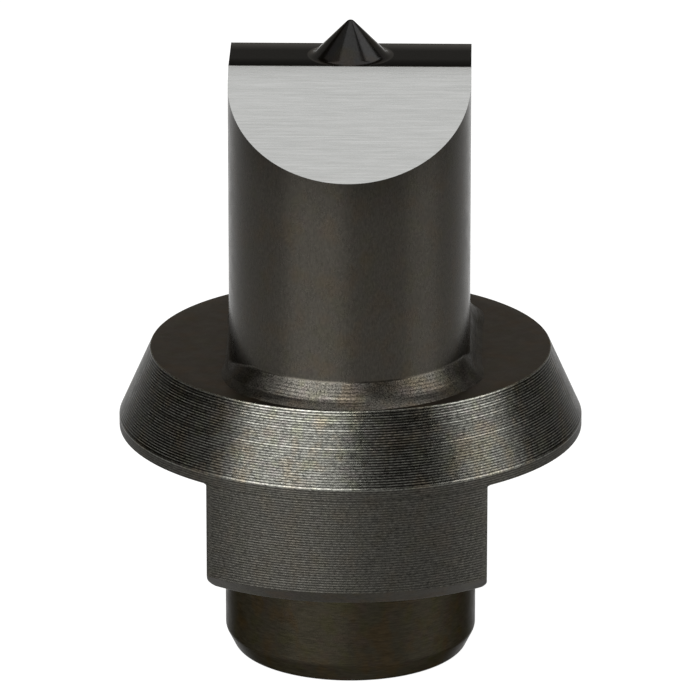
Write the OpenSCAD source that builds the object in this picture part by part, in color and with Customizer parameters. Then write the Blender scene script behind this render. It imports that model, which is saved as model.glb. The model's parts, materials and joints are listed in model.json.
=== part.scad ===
// Oblong punch for a plate hole puncher.
// It stands on the end of its spigot: the origin is at the middle of that end, and +Z points at the tip.
// X runs across the oblong, from one key flat to the other, and Y runs along it.

/* [Working end] */
// Width of the oblong post, across its flat sides
post_width = 14; // [12:0.5:15]
// Length of the oblong post, over its round ends
post_length = 21; // [18:0.5:22]
// Height of the flat land above the spigot's end
land_height = 36.35; // [30:0.05:45]
// Depth of the flat land, along the oblong
land_depth = 4.65; // [4:0.05:7]
// Fall of each shear face below the horizontal, in degrees
shear_angle = 28.8; // [5:0.2:35]
// Fillet between the post's round ends and the flange
end_fillet = 1.3; // [0.8:0.1:1.8]
// Fillet between the post's flat sides and the flange
side_fillet = 0.55; // [0.2:0.05:0.8]

/* [Centre point] */
// Diameter of the cone at the land
point_d = 4.4; // [3:0.1:5]
// Height of the cone above the land
point_height = 2.25; // [1.2:0.05:3]
// Diameter of the stem in the post
stem_d = 2.4; // [1.5:0.1:3]
// Length of the stem in the post
stem_length = 5; // [3:0.5:8]

/* [Flange] */
// Diameter of the rim, and of the collar below it
rim_d = 27.2; // [26:0.1:30]
// Diameter of the flange's flat top
flange_top_d = 23.5; // [22.5:0.1:25]
// Height of the flange's flat top above the spigot's end
flange_top = 18.6; // [17:0.1:20]
// Height of the straight rim under the cone
rim_height = 0.65; // [0.4:0.05:1.5]
// Height of the cone
cone_height = 4.15; // [3:0.05:5]

/* [Keyed collar] */
// Distance between the two key flats
across_flats = 16.2; // [14:0.1:20]
// Height of the collar's underside above the spigot's end
collar_bottom = 7.2; // [5:0.1:9]
// Chamfer round the collar's underside
collar_chamfer = 0.95; // [0.3:0.05:1.2]
// Chamfer along the lower edges of the key flats
flat_chamfer = 0.35; // [0.1:0.05:0.8]

/* [Guide spigot] */
// Diameter of the spigot
spigot_d = 14.8; // [13:0.1:15.5]
// Width of the chamfer round the spigot's end
spigot_chamfer = 0.65; // [0.3:0.05:1]
// Height of that chamfer
spigot_chamfer_height = 1.2; // [0.5:0.05:2]
// Diameter of the tenon that the flange, collar and spigot are pressed on
tenon_d = 10; // [8:0.5:11]
// Thickness of steel left under the tenon
spigot_floor = 2; // [1.5:0.1:3]
// Diameter of the spigot's press-fit end, inside the collar
register_d = 15.4; // [15.2:0.1:15.6]
// Length of that end
register_length = 1; // [0.5:0.1:1.5]

/* [Hidden] */
$fn = 96;
ledge = flange_top - cone_height - rim_height;
spigot_top = collar_bottom + register_length;
end_r = post_width / 2;
end_y = (post_length - post_width) / 2;
reach = 2 * rim_d;
// A fillet's edge is this thick where it runs out, so that it isn't infinitely thin.
feather = 0.02;
// A fillet's section reaches this far into the wall it joins.
root = 1;
oxide = [0.27, 0.26, 0.24];
turned_oxide = [0.46, 0.45, 0.42];
lined_oxide = [0.36, 0.35, 0.33];
brown_oxide = [0.30, 0.28, 0.23];
bright_oxide = [0.52, 0.51, 0.48];

// Draws its profile, given as radius and height, round the punch's axis.
module turned() {
    rotate_extrude() children();
}

// The oblong outline of the post.
module oblong() {
    square([post_width, 2 * end_y], center = true);
    for (side = [-1, 1])
        translate([0, side * end_y]) circle(r = end_r);
}

// A fillet's section against a wall at 0: a square corner with a round of radius r cut out of it.
module fillet_section(r) {
    toe = r - feather - sqrt(2 * r * feather);
    difference() {
        translate([-root, 0]) square([root + toe, r]);
        translate([r - feather, r]) circle(r = r);
    }
}

// The fillet round one round end, cut off level with the post's flat sides.
module end_fillet_ring() {
    intersection() {
        translate([0, end_y, 0])
            rotate_extrude() translate([end_r, 0]) fillet_section(end_fillet);
        translate([-end_r - side_fillet, end_y, 0])
            cube([post_width + 2 * side_fillet, reach, end_fillet]);
        cylinder(d = flange_top_d, h = end_fillet);
    }
}

// The small fillet along one flat side.
module side_fillet_strip() {
    translate([end_r, end_y, 0]) rotate([90, 0, 0])
        linear_extrude(height = 2 * end_y) fillet_section(side_fillet);
}

// Everything above one shear face, on the +Y side.
module above_shear_face() {
    translate([-reach / 2, land_depth / 2, land_height])
        rotate([-shear_angle, 0, 0]) cube([reach, reach, reach]);
}

module guide_spigot() {
    color(brown_oxide)
        difference() {
            turned() polygon([
                [0, 0],
                [spigot_d / 2 - spigot_chamfer, 0],
                [spigot_d / 2, spigot_chamfer_height],
                [spigot_d / 2, collar_bottom],
                [register_d / 2, collar_bottom],
                [register_d / 2, spigot_top],
                [0, spigot_top]
            ]);
            translate([0, 0, spigot_floor]) cylinder(d = tenon_d, h = spigot_top);
        }
}

module keyed_collar() {
    flat_x = across_flats / 2;
    color(lined_oxide)
        difference() {
            intersection() {
                turned() polygon([
                    [0, collar_bottom],
                    [rim_d / 2 - collar_chamfer, collar_bottom],
                    [rim_d / 2, collar_bottom + collar_chamfer],
                    [rim_d / 2, ledge],
                    [0, ledge]
                ]);
                translate([0, reach / 2, 0]) rotate([90, 0, 0]) linear_extrude(height = reach) polygon([
                    [-flat_x, ledge],
                    [-flat_x, collar_bottom + flat_chamfer],
                    [-flat_x + flat_chamfer, collar_bottom],
                    [flat_x - flat_chamfer, collar_bottom],
                    [flat_x, collar_bottom + flat_chamfer],
                    [flat_x, ledge]
                ]);
            }
            cylinder(d = tenon_d, h = flange_top);
            cylinder(d = register_d, h = spigot_top);
        }
}

module cone_flange() {
    color(turned_oxide)
        turned() polygon([
            [tenon_d / 2, ledge],
            [rim_d / 2, ledge],
            [rim_d / 2, ledge + rim_height],
            [flange_top_d / 2, flange_top],
            [tenon_d / 2, flange_top]
        ]);
}

module oblong_post() {
    color(oxide) {
        difference() {
            translate([0, 0, flange_top]) {
                linear_extrude(height = land_height - flange_top) oblong();
                for (end = [0, 180])
                    rotate([0, 0, end]) {
                        end_fillet_ring();
                        side_fillet_strip();
                    }
            }
            for (end = [0, 180])
                rotate([0, 0, end]) above_shear_face();
            translate([0, 0, land_height - stem_length]) cylinder(d = stem_d, h = 2 * stem_length);
        }
        translate([0, 0, spigot_floor]) cylinder(d = tenon_d, h = flange_top - spigot_floor);
    }
}

module centre_point() {
    color(bright_oxide)
        turned() polygon([
            [0, land_height - stem_length],
            [stem_d / 2, land_height - stem_length],
            [stem_d / 2, land_height],
            [point_d / 2, land_height],
            [0, land_height + point_height]
        ]);
}

guide_spigot();
keyed_collar();
cone_flange();
oblong_post();
centre_point();
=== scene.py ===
"""Looks of the oblong punch: five pieces of black-oxided tool steel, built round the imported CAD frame.

Shapes are worked out in millimetres and written to Blender in metres.
"""

import json
import math

import bmesh
import bpy
import numpy as np
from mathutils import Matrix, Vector

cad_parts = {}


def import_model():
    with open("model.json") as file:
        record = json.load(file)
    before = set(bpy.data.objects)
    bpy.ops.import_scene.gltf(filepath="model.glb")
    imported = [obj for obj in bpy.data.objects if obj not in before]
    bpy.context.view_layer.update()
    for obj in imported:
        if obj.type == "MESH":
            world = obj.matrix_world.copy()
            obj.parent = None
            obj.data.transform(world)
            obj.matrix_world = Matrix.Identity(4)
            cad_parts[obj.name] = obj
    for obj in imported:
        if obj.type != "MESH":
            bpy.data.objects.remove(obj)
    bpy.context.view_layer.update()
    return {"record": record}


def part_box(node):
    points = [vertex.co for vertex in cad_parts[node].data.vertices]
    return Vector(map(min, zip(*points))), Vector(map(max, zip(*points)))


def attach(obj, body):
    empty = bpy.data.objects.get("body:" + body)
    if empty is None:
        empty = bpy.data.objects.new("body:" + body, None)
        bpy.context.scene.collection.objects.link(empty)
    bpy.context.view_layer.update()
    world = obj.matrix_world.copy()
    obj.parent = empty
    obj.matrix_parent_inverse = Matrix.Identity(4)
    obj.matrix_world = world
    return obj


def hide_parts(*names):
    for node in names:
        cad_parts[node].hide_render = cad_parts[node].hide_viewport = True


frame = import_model()

# ---------------------------------------------------------------- sizes, in millimetres

MM = 1000.0  # millimetres in a metre
MOUNTS = {mount["name"]: mount for mount in frame["record"]["mounts"]}


def mount_at(name):
    """Where a mount is."""
    return np.array(MOUNTS[name]["pos_m"]) * MM


def node_box(node):
    """Lowest and highest corner of a CAD node."""
    low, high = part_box(node)
    return np.array(low) * MM, np.array(high) * MM


LAND_Z = mount_at("punch_end")[2]
FLANGE_TOP_Z = mount_at("flange_cone")[2]
COLLAR_BOTTOM_Z = mount_at("collar_seat")[2]
FLAT_X = mount_at("key_flat_right")[0]
SPIGOT_R = MOUNTS["guide_spigot"]["dims"]["r_mm"]
RIM_R = node_box("cone_flange")[1][0]
LEDGE_Z = node_box("cone_flange")[0][2]
SPIGOT_TOP_Z = node_box("guide_spigot")[1][2]
TENON_END_Z = node_box("oblong_post")[0][2]
STEM_END_Z = node_box("centre_point")[0][2]
TIP_Z = node_box("centre_point")[1][2]

END_R = 7.0  # radius of the post's round ends, half its width
END_Y = 3.5  # how far the centre of each round end is from the axis
LAND_HALF = 2.325  # half the depth of the flat land
SHEAR = math.radians(28.8)  # fall of each shear face below the horizontal
END_FILLET = 1.27  # height of the foot fillet at the round ends
SIDE_FILLET = 0.55  # and at the flat sides, on average
SIDE_UNEVEN = 0.25  # the right side's fillet is this much higher than that, the left side's this much lower
FILLET_GROWTH = 0.22  # how fast the fillet grows along the oblong, from a flat side to a round end
POINT_R = 2.2  # the centring cone's radius at the land
TENON_R = 5.0
STEM_R = 1.2
REGISTER_R = 7.7  # the spigot's hidden end inside the collar
REGISTER_Z = COLLAR_BOTTOM_Z + 0.15  # it starts where the rounds under the collar's flats leave room
FLANGE_TOP_R = 11.75
RIM_TOP_Z = FLANGE_TOP_Z - 4.15
COLLAR_CHAMFER = 0.95
CONE_FEED = 0.154  # distance between the turning lines on the cone
COLLAR_FEED = 0.15  # and on the rim and the collar
GROOVE = 0.0129  # depth of the lines on the cone
RIM_GROOVE, COLLAR_GROOVE = 0.7 * GROOVE, 0.6 * GROOVE
DARKENED = 2.5  # how far down from the ground faces the post's oxide is darker
FILLET_TRACE = 0.003  # how far the tool's traces stand out of or into the fillet, as a share of its height
TRACE_SPACING = 0.17  # distance between two traces, as a share of it

PLAIN = 0.5  # the tone of a surface with no turning lines
SHARP = 32  # an edge that turns by more degrees than this is shaded as sharp


# ---------------------------------------------------------------- outlines and meshes


def rounded(corners, steps=5):
    """A line through (x, y, radius) corners, each corner with a radius replaced by an arc."""
    points = [np.array(corner[:2], float) for corner in corners]
    line = []
    for i, corner in enumerate(corners):
        here, radius = points[i], corner[2] if len(corner) > 2 else 0
        if radius <= 0 or i in (0, len(corners) - 1):
            line.append(here)
            continue
        back, ahead = points[i - 1] - here, points[i + 1] - here
        back, ahead = back / np.linalg.norm(back), ahead / np.linalg.norm(ahead)
        half = math.acos(np.clip(back @ ahead, -1, 1)) / 2
        middle = here + (back + ahead) / np.linalg.norm(back + ahead) * radius / math.sin(half)
        start = here + back * radius / math.tan(half) - middle
        end = here + ahead * radius / math.tan(half) - middle
        turn = math.atan2(start[0] * end[1] - start[1] * end[0], start @ end)
        for t in np.linspace(0, turn, steps):
            c, s = math.cos(t), math.sin(t)
            line.append(middle + np.array([c * start[0] - s * start[1], s * start[0] + c * start[1]]))
    return line


def finer(line, step):
    """The same line with its points no farther apart than step."""
    points = []
    for here, ahead in zip(line, line[1:]):
        count = max(1, math.ceil(np.linalg.norm(ahead - here) / step))
        points += [here + (ahead - here) * i / count for i in range(count)]
    return [*points, line[-1]]


def scalloped(start, end, feed, depth, rng):
    """Points from start to end, hollowed out by depth once in each feed as a turning tool leaves it.

    The hollows go to the right of the way from start to end. Each point's third number is its tone, 1 on a
    crest and 0 at the bottom of a hollow.
    """
    steps = 5
    start, end = np.array(start, float), np.array(end, float)
    length = np.linalg.norm(end - start)
    along = (end - start) / length
    inward = np.array([along[1], -along[0]])
    count = max(1, round(length / feed))
    points = []
    for i in range(count):
        deep = depth * rng.uniform(0.95, 1.05)
        for u in np.arange(steps) / steps:
            hollow = 4 * u * (1 - u)
            place = start + along * (i + u) * length / count + inward * deep * hollow
            points.append((*place, 1 - hollow))
    points.append((*end, 1.0))
    return points


def circle(radius, height, segments):
    """Points round the axis."""
    angles = np.arange(segments) / segments * 2 * math.pi
    return np.stack([radius * np.sin(angles), -radius * np.cos(angles), np.full(segments, height)], 1)


def strips(rings, closed):
    """Faces from each ring to the next one, and from the last to the first if closed.

    All rings have as many points, apart from rings of one point, which get a fan.
    """
    sizes = [len(ring) for ring in rings]
    starts = [sum(sizes[:k]) for k in range(len(sizes))]
    count = max(sizes)
    faces = []
    for k in range(len(rings) if closed else len(rings) - 1):
        ahead = (k + 1) % len(rings)
        a, b = starts[k], starts[ahead]
        if sizes[k] == sizes[ahead] == 1:
            continue
        for i in range(count):
            j = (i + 1) % count
            if sizes[k] == 1:
                faces.append((a, b + j, b + i))
            elif sizes[ahead] == 1:
                faces.append((a + i, a + j, b))
            else:
                faces.append((a + i, a + j, b + j, b + i))
    return faces


def solid(name, points, faces, tones, sharp=SHARP):
    """A Blender object of these points, in millimetres, with its faces turned outwards.

    Each point has a tone, which its material can turn into a shade.
    """
    mesh = bpy.data.meshes.new(name)
    mesh.from_pydata((np.asarray(points) / MM).tolist(), [], faces)
    work = bmesh.new()
    work.from_mesh(mesh)
    bmesh.ops.recalc_face_normals(work, faces=work.faces)
    work.to_mesh(mesh)
    work.free()
    mesh.shade_smooth()
    mesh.set_sharp_from_angle(angle=math.radians(sharp))
    mesh.attributes.new("tone", "FLOAT", "POINT").data.foreach_set("value", tones.astype(np.float32))
    piece = bpy.data.objects.new(name, mesh)
    bpy.context.scene.collection.objects.link(piece)
    return piece


def skin(name, rings, tones, sharp):
    """A closed mesh through these rings, with a tone for each ring or for each of its points."""
    tones = np.concatenate([np.broadcast_to(tone, len(ring)) for tone, ring in zip(tones, rings)])
    return solid(name, np.concatenate(rings), strips(rings, closed=True), tones, sharp)


def turned(name, profile, segments=384, sharp=SHARP):
    """A solid of revolution from (radius, height) points, which may have a tone as well."""
    rings = []
    for radius, height, *_ in profile:
        rings.append(np.array([[0, 0, height]]) if radius < 1e-6 else circle(radius, height, segments))
    return skin(name, rings, [point[2] if len(point) > 2 else PLAIN for point in profile], sharp)


# ---------------------------------------------------------------- the pieces


def cone_flange():
    """The turned cone flange, a ring round the tenon: turning lines, a lighter top edge and a darker foot
    edge.
    """
    rng = np.random.default_rng(11)
    top, foot = np.array([FLANGE_TOP_R, FLANGE_TOP_Z]), np.array([RIM_R, RIM_TOP_Z])
    slope = (top - foot) / np.linalg.norm(top - foot)
    edge, foot_edge = 0.07, 0.042  # rounds of the cone's edges
    bright, dull = 1.2, 0.3  # and their tones
    chamfer_w, chamfer_h = 0.04, 0.03  # of the rim's lower edge
    flat_edge = FLANGE_TOP_R - 1.2  # keeps the smooth shading of the round off the flat top

    def edge_round(corners, tone):
        """The arc at the middle one of three corners."""
        return [(*point, tone) for point in rounded(corners, 4)[1:-1]]

    profile = [
        (TENON_R, FLANGE_TOP_Z),
        (flat_edge, FLANGE_TOP_Z),
        *edge_round([(TENON_R, FLANGE_TOP_Z), (*top, edge), foot], bright),
        *scalloped(top - slope * edge, foot + slope * edge, CONE_FEED, GROOVE, rng),
        *edge_round([top, (*foot, foot_edge), (RIM_R, LEDGE_Z)], dull),
        *scalloped((RIM_R, RIM_TOP_Z - edge), (RIM_R, LEDGE_Z + chamfer_h), COLLAR_FEED, RIM_GROOVE, rng),
        (RIM_R - chamfer_w, LEDGE_Z),
        (TENON_R, LEDGE_Z),
    ]
    return turned("cone_flange_turned", profile, sharp=30)


def keyed_collar():
    """The double-D collar: turned front and rear, milled flat at the sides."""
    rng = np.random.default_rng(23)
    corner_r = 0.16  # round between the turned and the milled faces
    top_fillet = 0.14
    foot_rounds = (0.45, 0.65)  # under the right flat and under the left one
    underside = 0.3  # width of the ring that keeps the smooth shading of the chamfer off the underside
    arc_points, corner_points, flat_points = 72, 6, 12
    top, foot = LEDGE_Z, COLLAR_BOTTOM_Z
    chamfer_z = foot + COLLAR_CHAMFER
    lines_end_z, plain_start_z = chamfer_z + 0.03, chamfer_z + 0.02
    levels = scalloped((RIM_R, top), (RIM_R, lines_end_z), COLLAR_FEED, COLLAR_GROOVE, rng)
    levels += finer(rounded([
        (RIM_R, plain_start_z),
        (RIM_R, chamfer_z, 0.04),
        (RIM_R - COLLAR_CHAMFER, foot, 0.2),
        (RIM_R - COLLAR_CHAMFER - underside, foot),
    ]), step=0.1)

    def flat_at(z, foot_round):
        """How far out a flat is at this height."""
        x = FLAT_X
        if z < foot + foot_round:
            x -= foot_round - math.sqrt(max(0.0, foot_round**2 - (foot + foot_round - z) ** 2))
        if z > top - top_fillet:
            x += top_fillet - math.sqrt(max(0.0, top_fillet**2 - (z - top + top_fillet) ** 2))
        return x

    def quarter(r, flat_x):
        """From the middle of the front to the middle of the right flat."""
        middle = np.array([flat_x - corner_r, -math.sqrt((r - corner_r) ** 2 - (flat_x - corner_r) ** 2)])
        reach = math.atan2(middle[0], -middle[1])
        points = [np.array([r * math.sin(t), -r * math.cos(t)]) for t in np.linspace(0, reach, arc_points)]
        for t in np.linspace(reach, math.pi / 2, corner_points)[1:]:
            points.append(middle + corner_r * np.array([math.sin(t), -math.cos(t)]))
        for y in np.linspace(middle[1], 0, flat_points)[1:]:
            points.append(np.array([flat_x, y]))
        return np.array(points)

    def round_trip(*quarters):
        """The right and left quarters' points, mirrored to the rear and joined into one loop."""
        right, left = [np.concatenate([q, (q * [1, -1])[::-1][1:]]) for q in quarters]
        return np.concatenate([right, (left * [-1, 1])[::-1][1:-1]])

    rings, tones = [], []
    for r, z, *tone in levels:
        loop = round_trip(*[quarter(r, flat_at(z, foot_round)) for foot_round in foot_rounds])
        rings.append(np.column_stack([loop, np.full(len(loop), z)]))
        on_flat = np.abs(loop[:, 0]) > FLAT_X - 2 * corner_r
        tones.append(np.where(on_flat, PLAIN, tone[0] if tone else PLAIN))
    outward = rings[-1][:, :2] / np.linalg.norm(rings[-1][:, :2], axis=1, keepdims=True)
    bore = [
        (SPIGOT_R, foot),
        (SPIGOT_R, REGISTER_Z),
        (REGISTER_R, REGISTER_Z),
        (REGISTER_R, SPIGOT_TOP_Z),
        (TENON_R, SPIGOT_TOP_Z),
        (TENON_R, top),
    ]
    for r, z in bore:
        rings.append(np.column_stack([outward * r, np.full(len(outward), z)]))
        tones.append(PLAIN)
    return skin("keyed_collar_turned", rings, tones, sharp=16)


def guide_spigot():
    """The smooth spigot, with the blind hole that takes the tenon's end."""
    chamfer_w, chamfer_h = 0.6, 1.2
    profile = rounded([
        (0, 0),
        (SPIGOT_R - chamfer_w, 0, 0.45),
        (SPIGOT_R, chamfer_h, 0.6),
        (SPIGOT_R, REGISTER_Z),
        (REGISTER_R, REGISTER_Z),
        (REGISTER_R, SPIGOT_TOP_Z),
        (TENON_R, SPIGOT_TOP_Z),
        (TENON_R, TENON_END_Z),
        (0, TENON_END_Z),
    ], steps=9)
    return turned("guide_spigot_smooth", profile, 256)


def centre_point():
    """The centring cone with its rounded tip and its foot fillet, on its stem.

    The shear faces cut the fillet short.
    """
    foot_w = 0.3  # how far the fillet reaches past the cone
    feather = 0.004  # height of the fillet's edge, so that it isn't infinitely thin
    tip_r, fillet_r = 0.32, 0.65
    line = rounded([
        (0, STEM_END_Z),
        (STEM_R, STEM_END_Z),
        (STEM_R, LAND_Z),
        (POINT_R + foot_w, LAND_Z),
        (POINT_R + foot_w - 5 * feather, LAND_Z + feather),
        (POINT_R, LAND_Z + feather, fillet_r),
        (0, TIP_Z, tip_r),
        (-POINT_R, LAND_Z),
    ], steps=15)
    profile = [point for point in line if point[0] > 0.01]
    profile = [(0, STEM_END_Z), *profile, (0, max(point[1] for point in profile))]
    piece = turned("centre_point_turned", profile, 192)
    limit = (LAND_HALF - 0.01) / MM
    for vertex in piece.data.vertices:
        vertex.co.y = min(limit, max(-limit, vertex.co.y))
    return piece


def post_outline():
    """The post's outline: right side from the front tip to the rear tip, then back along the left side.

    The results are the right side, the whole outline, and the way out from each of its points.
    """
    bevel = 0.03  # each of the land's edges is cut off between points this far to its two sides
    past_land, on_land = LAND_HALF + bevel, LAND_HALF - bevel
    arc = np.array([(math.sin(t), -math.cos(t)) for t in np.linspace(0, math.pi / 2, 40)])
    side = np.array([(END_R, y) for y in (-past_land, -on_land, -0.8, 0.8, on_land, past_land)])
    right = np.concatenate([arc * END_R + [0, -END_Y], side, (arc[::-1] * END_R + [0, -END_Y]) * [1, -1]])
    out = np.concatenate([arc, np.tile([1.0, 0.0], (len(side), 1)), arc[::-1] * [1, -1]])

    def both(half):
        return np.concatenate([half, (half * [-1, 1])[::-1][1:-1]])

    return right, both(right), both(out)


def roof(y):
    """Height of the post's top at this place along the oblong."""
    return LAND_Z - max(0.0, abs(y) - LAND_HALF) * math.tan(SHEAR)


def fillet_section():
    """The foot fillet from the flange to the wall, where it is 1 high: two blended slopes.

    Each point is followed by how far along the section it is.
    """
    toe, bend, wall = (0.915, 0.001), (0.488, 0.268), (0, 1)
    above_wall = (0, 1.2)  # only gives the last arc its direction
    line = rounded([toe, (*bend, 0.5), (*wall, 0.35), above_wall], 12)[:-1]
    line = finer(line, step=0.02)
    along = np.cumsum([0, *np.linalg.norm(np.diff(line, axis=0), axis=1)])
    return np.column_stack([line, along])


def foot_rings(loop, out, foot_height):
    """The foot fillet's rings, from the flange up, with the traces of the tool that blended it."""
    section = fillet_section()
    trace_out, trace_up = 0.85, 0.53  # the way out of the fillet, square to its slope
    farthest = FLANGE_TOP_R - 0.09  # the flange's edge cuts the fillet short
    # Along the fillet the traces wander, and they fade and come back.
    drift = 1.3 * np.sin(0.9 * loop[:, 0] + 0.4 * loop[:, 1])
    strength = 1 + 0.6 * np.sin(1.7 * loop[:, 0] + 1.1)
    rings = []
    for reach, height, along in section:
        trace = FILLET_TRACE * strength * np.sin(2 * math.pi * along / TRACE_SPACING + drift)
        trace *= math.sin(math.pi * along / section[-1, 2])
        points = loop + out * (foot_height * (reach + trace_out * trace))[:, None]
        points *= np.minimum(1, farthest / np.linalg.norm(points, axis=1, keepdims=True))
        rings.append(np.column_stack([points, FLANGE_TOP_Z + foot_height * (height + trace_up * trace)]))
    return rings


def post_roof(right, count, last, added):
    """The land and the shear faces: a row of points across the post for each place along it.

    count is the number of points in the post's outline, last the index of the first point of its top ring,
    and added the index of the first point that this adds. The results are these points and the faces.
    """
    across = 24  # faces in a row
    tips = (0, len(right) - 1)
    rows, points = [], []
    for k, (x, y) in enumerate(right):
        if k in tips:
            rows.append([last + k])
            continue
        row = [last + count - k]
        for t in np.linspace(-1, 1, across + 1)[1:-1]:
            row.append(added + len(points))
            points.append((x * t, y, roof(y)))
        rows.append([*row, last + k])
    faces = []
    for low, high in zip(rows, rows[1:]):
        for i in range(across):
            if len(low) == 1:
                faces.append((low[0], high[i + 1], high[i]))
            elif len(high) == 1:
                faces.append((low[i], low[i + 1], high[0]))
            else:
                faces.append((low[i], low[i + 1], high[i + 1], high[i]))
    return points, faces


def oblong_post():
    """The working post: wall, foot fillets, land and shear faces, on its tenon."""
    right, loop, out = post_outline()
    count = len(loop)
    past_side = np.maximum(0, np.abs(loop[:, 1]) - END_Y)
    side_height = SIDE_FILLET + SIDE_UNEVEN * np.tanh(4 * loop[:, 0] / END_R)
    foot_height = np.minimum(END_FILLET, side_height + FILLET_GROWTH * past_side)

    def level(points, z):
        return np.column_stack([points, np.full(count, z)])

    tenon = loop / np.linalg.norm(loop, axis=1, keepdims=True) * TENON_R
    tenon_chamfer = 0.2
    rings = [
        np.array([[0, 0, TENON_END_Z]]),
        level(tenon * (1 - tenon_chamfer / TENON_R), TENON_END_Z),
        level(tenon, TENON_END_Z + tenon_chamfer),
        level(tenon, FLANGE_TOP_Z),
        *foot_rings(loop, out, foot_height),
    ]
    wall_foot = rings[-1][:, 2]
    wall_top = np.array([roof(y) for y in loop[:, 1]])
    # The wall's rings, closer together towards the roof.
    for t in 1 - np.linspace(1, 0, 16)[1:] ** 2:
        rings.append(level(loop, wall_foot + (wall_top - wall_foot) * t))
    points, faces = np.concatenate(rings), strips(rings, closed=False)
    roof_points, roof_faces = post_roof(right, count, len(points) - count, len(points))
    points = np.concatenate([points, roof_points])
    below_roof = np.array([roof(y) - z for _, y, z in points])
    tones = np.minimum(1, below_roof / DARKENED)
    return solid("oblong_post_ground", points, faces + roof_faces, tones)


# ---------------------------------------------------------------- materials


class Nodes:
    """A short way to write a material's node tree. Where a value is asked for, a node's output does too."""

    def __init__(self, name):
        self.material = bpy.data.materials.new(name)
        self.material.use_nodes = True
        self.tree = self.material.node_tree
        self.shader = self.tree.nodes["Principled BSDF"]
        self.place = self.add("ShaderNodeTexCoord").outputs["Object"]

    def add(self, kind, values=(), **settings):
        """A new node with these values in its inputs."""
        node = self.tree.nodes.new(kind)
        for key, value in settings.items():
            setattr(node, key, value)
        for key, value in dict(values).items():
            self.put(node.inputs[key], value)
        return node

    def put(self, socket, value):
        """Gives an input its value."""
        if isinstance(value, bpy.types.NodeSocket):
            self.tree.links.new(value, socket)
        else:
            socket.default_value = value

    def stretched(self, x, y, z):
        """The place on the piece in millimetres, multiplied by a number along each axis."""
        scale = (MM * x, MM * y, MM * z)
        return self.add("ShaderNodeMapping", {"Vector": self.place, "Scale": scale}).outputs[0]

    def noise(self, per_mm, detail=3.0, roughness=0.5, stretch=(1, 1, 1)):
        """Noise from about 0 to 1, with this many features in a millimetre."""
        place = self.stretched(*stretch)
        values = {"Vector": place, "Scale": per_mm, "Detail": detail, "Roughness": roughness}
        return self.add("ShaderNodeTexNoise", values).outputs["Fac"]

    def ramp(self, value, low, high, to_low=0.0, to_high=1.0, clamp=True):
        """The value with low to high spread over to_low to to_high."""
        values = {"Value": value, "From Min": low, "From Max": high, "To Min": to_low, "To Max": to_high}
        return self.add("ShaderNodeMapRange", values, clamp=clamp).outputs["Result"]

    def mix(self, share, a, b):
        """The colour a, with this share of b."""
        node = self.add("ShaderNodeMix", {0: share, 6: a, 7: b}, data_type="RGBA")
        return node.outputs[2]

    def math(self, operation, *values):
        """The result of one step of arithmetic."""
        return self.add("ShaderNodeMath", dict(enumerate(values)), operation=operation).outputs[0]

    def scaled(self, colour, share):
        """The colour made this many times as bright."""
        return self.add("ShaderNodeVectorMath", {0: colour, "Scale": share}, operation="SCALE").outputs[0]

    def bump(self, height, depth_mm):
        """The normal of a surface with this relief."""
        return self.add("ShaderNodeBump", {"Height": height, "Distance": depth_mm / MM}).outputs["Normal"]


# Each stain's colour, its noise, and how much of that begins a patch and how much fills it.
STAINS = {
    "olive": ((0.98, 1.01, 0.78), {"per_mm": 0.9, "detail": 2.0}, 0.52, 0.68),
    "brown": ((1.2, 0.97, 0.74), {"per_mm": 0.6, "detail": 3.0, "stretch": (1.3, 1.3, 1)}, 0.5, 0.66),
    "violet": ((1.06, 0.95, 1.02), {"per_mm": 1.1, "detail": 2.0, "stretch": (1, 1.4, 1.2)}, 0.55, 0.7),
}
NOISE_RANGE = (0.3, 0.7)  # most of a noise is between these
LINES_RANGE = (0.35, 0.65)  # and most of the ground faces' lines between these


def oxide(name, colour, roughness, grain, stretch=(1, 1, 1), edge=0.6, stain=0.5, spread=(0.8, 1.2),
          tones=None, fade=None):
    """Black oxide over steel, stained olive, brown and violet here and there, with a satin grain.

    grain is its depth in millimetres and its count in a millimetre, and spread how far it darkens and
    lightens the colour. edge is how much of the light that grazes the steel is reflected, and stain how
    strong the stains are. tones are the shades at the mesh's tones 0 and 1; on the flange and the collar
    they paint shade into the hollows of the turning lines and a highlight onto their crests. fade is the
    axes along which a distance from the origin is measured, two such distances in millimetres, and the
    shade at each; it paints light that changes along the piece.
    """
    m = Nodes(name)
    tint = (1, 1, 1, 1)
    for stain_colour, noise, begins, full in STAINS.values():
        tint = m.mix(m.ramp(m.noise(**noise), begins, full, 0, stain), tint, (*stain_colour, 1))
    fine = m.noise(grain[1], 2.0, 0.7, stretch)
    shade = m.ramp(fine, *NOISE_RANGE, *spread)
    if tones:
        tone = m.add("ShaderNodeAttribute", attribute_name="tone").outputs["Fac"]
        shade = m.math("MULTIPLY", shade, m.ramp(tone, 0, 1, *tones, clamp=False))
    if fade:
        axes, near, far, *shades = fade
        distance = m.add("ShaderNodeVectorMath", {0: m.stretched(*axes)}, operation="LENGTH")
        shade = m.math("MULTIPLY", shade, m.ramp(distance.outputs["Value"], near, far, *shades))
    coloured = m.add("ShaderNodeVectorMath", {0: m.scaled(tint, shade), 1: colour}, operation="MULTIPLY")
    m.put(m.shader.inputs["Base Color"], coloured.outputs[0])
    m.put(m.shader.inputs["Metallic"], 1.0)
    m.put(m.shader.inputs["Specular Tint"], (edge, edge, edge, 1))
    m.put(m.shader.inputs["Roughness"], m.ramp(m.noise(1.2, 3.0, 0.6), *NOISE_RANGE, *roughness))
    m.put(m.shader.inputs["Normal"], m.bump(fine, grain[0]))
    return m.material


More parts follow.
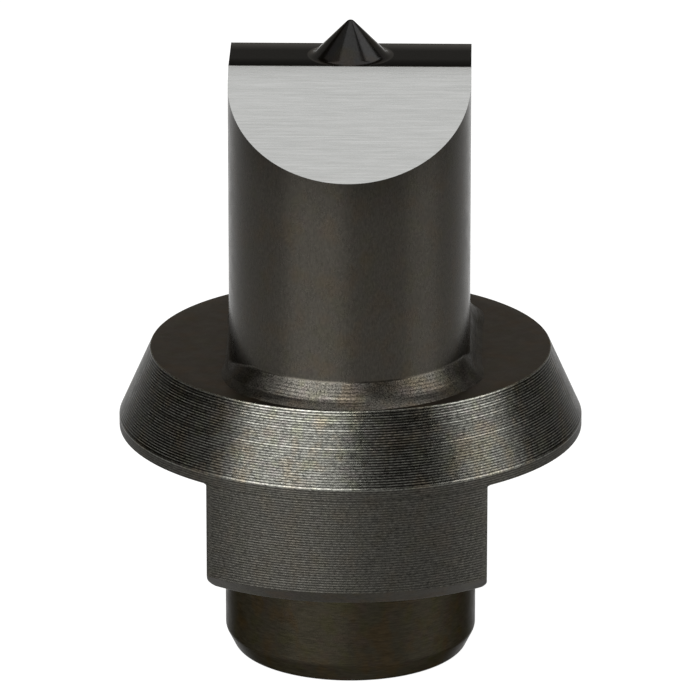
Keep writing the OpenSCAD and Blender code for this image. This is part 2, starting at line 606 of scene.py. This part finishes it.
def ground_steel():
    """A surface-ground face: bright, with fine straight lines across the oblong."""
    m = Nodes("ground_steel")
    long_lines = m.noise(8.0, 4.0, 0.7, stretch=(0.015, 1, 1))
    short_lines = m.noise(10.0, 3.0, 0.6, stretch=(0.05, 1, 1))
    lines = m.math("MULTIPLY_ADD", short_lines, 0.5, m.math("MULTIPLY", long_lines, 0.5))
    dark, bright = (0.44, 0.45, 0.445, 1), (0.56, 0.57, 0.568, 1)
    m.put(m.shader.inputs["Base Color"], m.mix(m.ramp(lines, *LINES_RANGE), dark, bright))
    m.put(m.shader.inputs["Metallic"], 1.0)
    m.put(m.shader.inputs["Roughness"], m.ramp(lines, *LINES_RANGE, 0.22, 0.34))
    m.put(m.shader.inputs["Normal"], m.bump(lines, 0.004))
    return m.material


TURNED = (0.7, 0.7, 1.5)  # grain drawn out round the axis
UPWARDS, OUTWARDS = (0, 0, 1), (1, 1, 0)

# The post's fade paints light: its colour is lighter towards its foot, which stands nearer the bright floor,
# and darker towards its top.
POST_OXIDE = oxide(
    "post_oxide", (0.031, 0.0285, 0.024), roughness=(0.24, 0.32), grain=(0.0012, 13.0),
    stretch=(1, 1, 0.35), edge=0.73, stain=0.3, spread=(0.78, 1.22), tones=(0.75, 1.0),
    fade=(UPWARDS, 22, 30, 1.07, 0.92))
# The fillet's colour is painted brighter where the flange's edge cuts it: a painted highlight.
FILLET_OXIDE = oxide(
    "fillet_oxide", (0.0375, 0.0355, 0.031), roughness=(0.3, 0.42), grain=(0.006, 13.0),
    spread=(0.1, 1.9), fade=(OUTWARDS, 10.9, 11.3, 1, 2.7))
LAND_OXIDE = oxide(
    "land_oxide", (0.015, 0.015, 0.015), roughness=(0.12, 0.18), grain=(0.0004, 10.0),
    edge=0.52, stain=0.1)
# The flange's tones paint shade into the hollows of the cone's turning lines and a highlight onto their
# crests.
FLANGE_OXIDE = oxide(
    "flange_oxide", (0.0412, 0.0412, 0.0368), roughness=(0.24, 0.33), grain=(0.003, 8.0),
    stretch=TURNED, edge=0.56, spread=(0.3, 1.7), tones=(0.14, 2.75))
FLANGE_TOP_OXIDE = oxide(
    "flange_top_oxide", (0.05, 0.043, 0.034), roughness=(0.36, 0.46), grain=(0.002, 16.0),
    edge=0.7, stain=0.7)
# The collar's tones, on the collar and on the rim, paint shade into the hollows of their turning lines and a
# highlight onto their crests.
COLLAR_OXIDE = oxide(
    "collar_oxide", (0.035, 0.0338, 0.0297), roughness=(0.36, 0.46), grain=(0.003, 8.0),
    stretch=TURNED, stain=0.2, spread=(0.5, 1.5), tones=(0.6, 1.5))
# The collar's chamfer and underside are darker than the collar: partly their own browner oxide, partly
# painted shade for the shadowed floor that they reflect.
CHAMFER_OXIDE_AND_SHADE = oxide(
    "chamfer_oxide", (0.0215, 0.0188, 0.0135), roughness=(0.3, 0.4), grain=(0.002, 16.0),
    stretch=(0.3, 0.3, 1), stain=0.9, spread=(0.6, 1.4))
# The spigot's dark brown colour is partly its own oxide and partly painted shade, for the shadowed floor
# round its foot that it reflects.
SPIGOT_OXIDE_AND_SHADE = oxide(
    "spigot_oxide", (0.02, 0.0176, 0.0122), roughness=(0.28, 0.38), grain=(0.002, 11.0),
    stretch=(0.15, 0.15, 1.5), edge=0.45, stain=0.8, spread=(0.7, 1.3))
POINT_OXIDE = oxide(
    "point_oxide", (0.037, 0.037, 0.037), roughness=(0.14, 0.2), grain=(0.001, 14.0),
    stretch=(1, 1, 0.3))
GROUND = ground_steel()


def paint_faces(piece, index, chosen):
    """Gives a material to the faces chosen by their height and by how far they face up."""
    for face in piece.data.polygons:
        if chosen(face.center.z * MM, face.normal.z):
            face.material_index = index


# ---------------------------------------------------------------- placing the pieces


def stand_for(piece, node, slot, *materials):
    """The piece rides on the punch in place of its CAD node."""
    for material in materials:
        piece.data.materials.append(material)
    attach(piece, "root")
    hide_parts(node)


FILLET_TOP_Z = FLANGE_TOP_Z + END_FILLET
ROOF_Z = FILLET_TOP_Z + END_FILLET  # the roof is above this
# The upward part of a face's normal is more than this where the face is level, a shear face or on the fillet.
LEVEL, SHEARED, BLENDED = 0.99, 0.7, 0.06
UNDERNEATH = -0.5  # and it is less than this on the collar's chamfer and underside

post = oblong_post()
stand_for(post, "oblong_post", "post_oxide", POST_OXIDE, GROUND, LAND_OXIDE, FILLET_OXIDE)
paint_faces(post, 1, lambda z, up: z > ROOF_Z and SHEARED < up < LEVEL)
paint_faces(post, 2, lambda z, up: z > ROOF_Z and up > LEVEL)
paint_faces(post, 3, lambda z, up: z < FILLET_TOP_Z and up > BLENDED)

stand_for(centre_point(), "centre_point", "point_oxide", POINT_OXIDE)

flange = cone_flange()
stand_for(flange, "cone_flange", "flange_oxide", FLANGE_OXIDE, FLANGE_TOP_OXIDE, COLLAR_OXIDE)
paint_faces(flange, 1, lambda z, up: up > LEVEL)
paint_faces(flange, 2, lambda z, up: z < RIM_TOP_Z - 0.05)

collar = keyed_collar()
stand_for(collar, "keyed_collar", "collar_oxide", COLLAR_OXIDE, CHAMFER_OXIDE_AND_SHADE)
paint_faces(collar, 1, lambda z, up: up < UNDERNEATH)

stand_for(guide_spigot(), "guide_spigot", "spigot_oxide", SPIGOT_OXIDE_AND_SHADE)


# ---------------------------------------------------------------- floor, light and camera


def direction(azimuth, elevation):
    """The way from the punch to a place round it: azimuth 0 is in front, and it grows towards +X."""
    a, e = math.radians(azimuth), math.radians(elevation)
    return Vector((math.sin(a) * math.cos(e), -math.cos(a) * math.cos(e), math.sin(e)))


def facing(name, data, aim, azimuth, elevation, distance):
    """An object of this data that stands this far from aim, in metres, and faces it."""
    away = direction(azimuth, elevation)
    body = bpy.data.objects.new(name, data)
    body.location = aim + away * distance
    body.rotation_mode = "QUATERNION"
    body.rotation_quaternion = away.to_track_quat("Z", "Y")
    bpy.context.scene.collection.objects.link(body)
    return body


def soft_light(name, azimuth, elevation, distance, width, height, radiance, colour=(1, 1, 1)):
    """A rectangular soft box that faces the punch. Its power follows from how bright it looks."""
    lamp = bpy.data.lights.new(name, "AREA")
    lamp.shape = "RECTANGLE"
    lamp.color = colour
    lamp.size, lamp.size_y = width, height
    lamp.energy = radiance * math.pi * width * height
    facing(name, lamp, Vector((0, 0, 0)), azimuth, elevation, distance)


def floor():
    """A plain pale floor. Nearly all its brightness is its own, so that shadows hardly show on it."""
    half = 3.0
    corners = [(-half, -half, 0), (half, -half, 0), (half, half, 0), (-half, half, 0)]
    mesh = bpy.data.meshes.new("floor")
    mesh.from_pydata(corners, [], [(0, 1, 2, 3)])
    plane = bpy.data.objects.new("floor", mesh)
    bpy.context.scene.collection.objects.link(plane)
    m = Nodes("floor")
    m.put(m.shader.inputs["Base Color"], (0.1, 0.1, 0.1, 1))
    m.put(m.shader.inputs["Emission Color"], (1, 1, 1, 1))
    m.put(m.shader.inputs["Emission Strength"], 0.96)
    m.put(m.shader.inputs["Roughness"], 0.35)
    m.put(m.shader.inputs["Specular IOR Level"], 0.2)
    mesh.materials.append(m.material)


def camera():
    """The camera, a little above the punch and a little to its right, with a long lens."""
    aim = Vector((-0.00003, 0, 0.018237))
    data = bpy.data.cameras.new("camera")
    data.sensor_width = 36.0
    data.lens = 388.8
    data.clip_start, data.clip_end = 0.01, 20
    bpy.context.scene.camera = facing("camera", data, aim, azimuth=1.15, elevation=19.15, distance=0.4438)


def world(radiance, colour):
    """The dim surroundings that the punch reflects between the lights."""
    made = bpy.data.worlds.new("studio")
    made.use_nodes = True
    background = made.node_tree.nodes["Background"]
    background.inputs["Color"].default_value = (*colour, 1)
    background.inputs["Strength"].default_value = radiance
    bpy.context.scene.world = made


floor()
world(radiance=0.05, colour=(1.25, 1.0, 0.7))
WARM = (1.03, 1.0, 0.94)
soft_light("key", azimuth=-31, elevation=28, distance=0.5, width=0.51, height=0.48, radiance=9.5)
soft_light("side", azimuth=75, elevation=22, distance=0.5, width=0.29, height=0.36, radiance=6.6)
soft_light("high_side", azimuth=105, elevation=52, distance=0.5, width=0.4, height=0.2, radiance=1.4)
soft_light("back", azimuth=180, elevation=20, distance=1.0, width=2.0, height=0.7, radiance=0.33, colour=WARM)
soft_light("left_fill", azimuth=-92, elevation=52, distance=0.8, width=0.5, height=0.4, radiance=0.25)
soft_light("top", azimuth=0, elevation=90, distance=0.8, width=0.66, height=1.0, radiance=0.95)
camera()
bpy.context.scene.view_settings.view_transform = "Standard"
